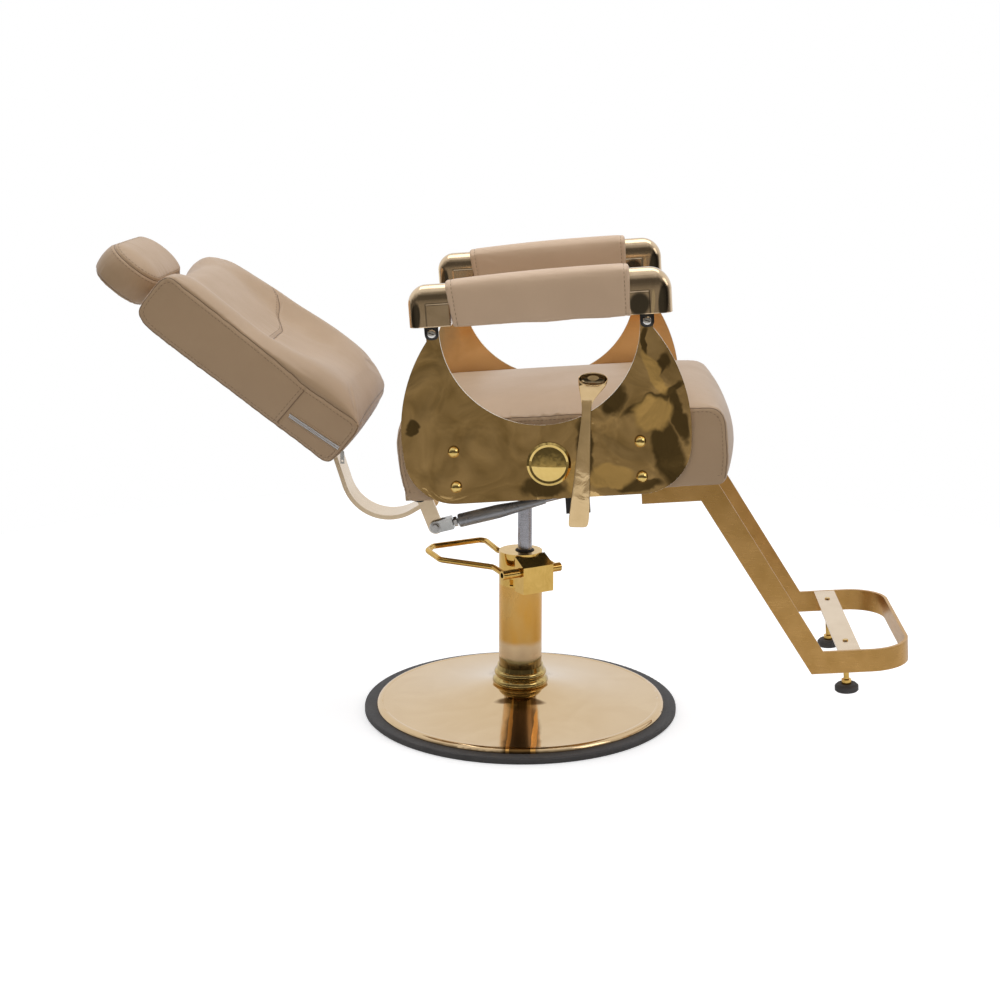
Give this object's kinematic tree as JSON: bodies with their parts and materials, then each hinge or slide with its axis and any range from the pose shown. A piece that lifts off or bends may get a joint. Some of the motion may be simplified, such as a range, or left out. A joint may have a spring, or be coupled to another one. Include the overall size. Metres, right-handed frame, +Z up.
{
  "type": "hydraulic barber chair",
  "caption": "Reclining barber chair with round pump base, foot pedal, padded seat, back and headrest, open side plates, capped armrests and a loop footrest.",
  "frame": {"origin": "on the floor, under the axis of the pump column", "axes": "+X towards the front of the chair, +Y to its left side, +Z up"},
  "size_m": [1.4776, 0.6144, 0.8949],
  "materials": {
    "gold": "polished gold plating",
    "gold_dish": "polished gold plating",
    "upholstery": "smooth matt upholstery, stitched seams",
    "rubber": "matt black rubber",
    "ram_steel": "ground steel",
    "zinc": "bright zinc",
    "dark_steel": "black satin paint",
    "lock_grey": "grey satin paint",
    "timber": "raw plywood",
    "bolt_steel": "zinc plated",
    "base_steel": "dull black"
  },
  "bodies": {
    "base": {"base_ring": "rubber", "base_plate": "base_steel", "base_dish": "gold_dish", "base_collar": "gold", "pump_tube": "gold", "base_bolts": "bolt_steel", "pump_head": "gold", "ram_seal": "rubber", "pump_cover": "gold"},
    "pedal": {"pedal": "gold"},
    "ram": {"ram": "ram_steel"},
    "seat": {"swivel_hub": "dark_steel", "deck_bolts": "bolt_steel", "seat_frame": "timber", "seat_cushion": "upholstery", "side_plate_right": "gold", "side_plate_left": "gold", "plate_studs": "bolt_steel", "dome_nuts": "gold", "side_boss": "gold", "arm_cap_right_rear": "gold", "arm_cap_right_front": "gold", "arm_rail_right": "timber", "arm_pad_right": "upholstery", "arm_cap_left_rear": "gold", "arm_cap_left_front": "gold", "arm_rail_left": "timber", "arm_pad_left": "upholstery", "arm_brackets": "dark_steel", "arm_screws": "zinc", "footrest_frame": "gold", "footrest_bolts": "bolt_steel", "tread_strap": "gold", "hinge_bracket": "dark_steel", "hinge_pin": "bolt_steel", "lock_anchor": "dark_steel", "anchor_pin": "bolt_steel", "lever_bearing_outer": "dark_steel", "lever_bearing_inner": "dark_steel"},
    "lever": {"recline_lever": "gold", "lever_shaft": "dark_steel"},
    "glide_right": {"foot_stem_right": "gold", "foot_pad_right": "rubber"},
    "glide_left": {"foot_stem_left": "gold", "foot_pad_left": "rubber"},
    "back": {"recline_bracket": "gold", "bracket_bolts": "bolt_steel", "back_board": "timber", "back_cushion": "upholstery", "headrest_guide": "dark_steel", "zip_slider": "zinc"},
    "headrest": {"headrest_post": "zinc", "headrest_board": "timber", "headrest_cushion": "upholstery"},
    "lock_cylinder": {"lock_clevis": "zinc", "clevis_pin": "bolt_steel", "lock_nut": "bolt_steel", "lock_cylinder": "lock_grey"},
    "lock_rod": {"lock_rod": "ram_steel"},
    "zip_pull": {"zip_pull": "zinc"}
  },
  "joints": [
    {"name": "pedal_press", "type": "hinge", "parent": "base", "child": "pedal", "pos_m": [0.02186, -0.04785, 0.286], "axis": [0.8358, 0.549, 0], "range_deg": [-18, 0], "stiffness_Nm_per_rad": 12, "springref_deg": 5.73},
    {"name": "lift", "type": "slide", "parent": "base", "child": "ram", "axis": [0, 0, 1], "range_m": [-0.035, 0.12]},
    {"name": "swivel", "type": "hinge", "parent": "ram", "child": "seat", "pos_m": [0.008, 0, 0.447], "axis": [0, 0, 1], "continuous": true},
    {"name": "lever_pull", "type": "hinge", "parent": "seat", "child": "lever", "pos_m": [0.11057, 0, 0.4657], "axis": [0, 1, 0], "range_deg": [-20, 0], "stiffness_Nm_per_rad": 6, "springref_deg": 5.73},
    {"name": "glide_right_adjust", "type": "slide", "parent": "seat", "child": "glide_right", "axis": [-0.0698, 0, 0.9976], "range_m": [0, 0.02]},
    {"name": "glide_left_adjust", "type": "slide", "parent": "seat", "child": "glide_left", "axis": [-0.0698, 0, 0.9976], "range_m": [0, 0.02]},
    {"name": "recline", "type": "hinge", "parent": "seat", "child": "back", "pos_m": [-0.185, 0, 0.436], "axis": [0, 1, 0], "range_deg": [0, 30]},
    {"name": "headrest_height", "type": "slide", "parent": "back", "child": "headrest", "axis": [-0.7694, 0, 0.6388], "range_m": [0, 0.1]},
    {"name": "lock_swing", "type": "hinge", "parent": "back", "child": "lock_cylinder", "pos_m": [-0.158, -0.032, 0.366], "axis": [0, 1, 0], "range_deg": [-29.84, 0]},
    {"name": "lock_travel", "type": "slide", "parent": "lock_cylinder", "child": "lock_rod", "axis": [0.9681, 0, 0.2504], "range_m": [0, 0.0397]},
    {"name": "pull_swing", "type": "hinge", "parent": "back", "child": "zip_pull", "pos_m": [-0.3056, -0.2055, 0.54184], "axis": [0, 1, 0], "range_deg": [-40, 40]}
  ],
  "couplings": [
    {"joint": "lock_swing", "follows": "recline", "ratio": -0.978},
    {"joint": "lock_travel", "follows": "recline", "m_per_rad": 0.0748}
  ]
}
